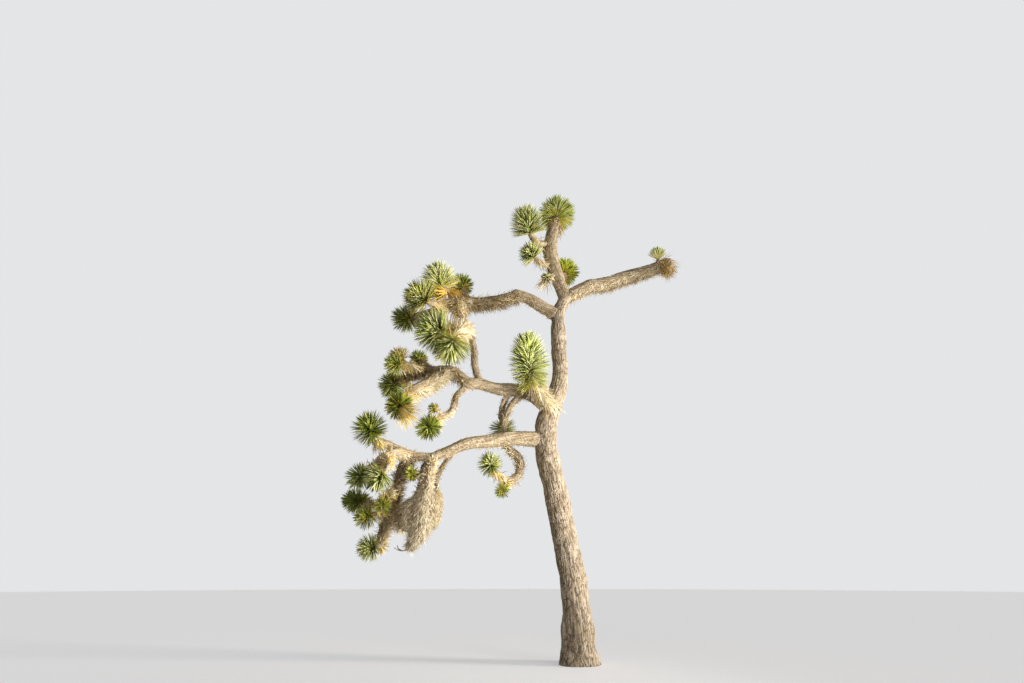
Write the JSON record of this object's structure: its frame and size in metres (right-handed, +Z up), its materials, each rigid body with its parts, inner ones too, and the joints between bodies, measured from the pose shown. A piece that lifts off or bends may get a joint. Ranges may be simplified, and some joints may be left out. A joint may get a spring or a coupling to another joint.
{
  "type": "joshua tree",
  "caption": "Whole joshua tree with a leaning trunk, boughs weeping to one side, dagger-leaved rosettes at the limb tips and skirts of dead leaves.",
  "frame": {"origin": "centre of the trunk's flat cut at ground level", "axes": "+Z up, +X to the right in the picture along the bare bough, -Y towards the camera"},
  "size_m": [4.7808, 1.7903, 6.6928],
  "materials": {
    "trunk_bark": "grey-tan corky bark, fissured into small plates",
    "bough_bark": "paler bark with flat shreds of old leaves",
    "leaves": "stiff waxy grey-green dagger leaves with yellow edges",
    "dead_leaves": "dry straw-coloured leaves that hang in a thatch"
  },
  "bodies": {
    "root": {"arched_spur": "bough_bark", "crown_stem": "bough_bark", "drooping_bough": "bough_bark", "drooping_end": "bough_bark", "hanging_spur": "bough_bark", "hook_bend": "bough_bark", "hook_end": "bough_bark", "hooked_bough": "bough_bark", "inner_drooping_bough": "bough_bark", "left_bough": "bough_bark", "left_bough_arm": "bough_bark", "low_bough": "bough_bark", "low_bough_arm": "bough_bark", "middle_arm": "bough_bark", "middle_bough": "bough_bark", "middle_front_arm": "bough_bark", "middle_hanging_spur": "bough_bark", "right_bough": "bough_bark", "rising_spur": "bough_bark", "rosette_arch_end": "leaves", "rosette_arch_front": "leaves", "rosette_droop_front": "leaves", "rosette_droop_low": "leaves", "rosette_droop_outer": "leaves", "rosette_front": "leaves", "rosette_hanging": "leaves", "rosette_hook": "leaves", "rosette_left_back": "leaves", "rosette_left_far": "leaves", "rosette_left_low": "leaves", "rosette_left_middle": "leaves", "rosette_left_outer": "leaves", "rosette_left_top": "leaves", "rosette_low_outer": "leaves", "rosette_lowest": "leaves", "rosette_mid_back": "leaves", "rosette_mid_front": "leaves", "rosette_mid_hanging": "leaves", "rosette_mid_outer": "leaves", "rosette_mid_upper": "leaves", "rosette_right": "leaves", "rosette_top": "leaves", "rosette_top_back": "leaves", "rosette_top_left": "leaves", "rosette_top_low": "leaves", "rosette_top_stub": "leaves", "skirt_back": "dead_leaves", "skirt_big": "dead_leaves", "skirt_bough": "bough_bark", "skirt_inner": "dead_leaves", "skirt_left": "dead_leaves", "skirt_right": "dead_leaves", "thin_spur": "bough_bark", "trunk": "trunk_bark", "tuft_dry": "leaves", "tuft_hook": "leaves", "tuft_inner": "leaves", "tuft_mid": "leaves", "upper_trunk": "trunk_bark"}
  },
  "joints": []
}
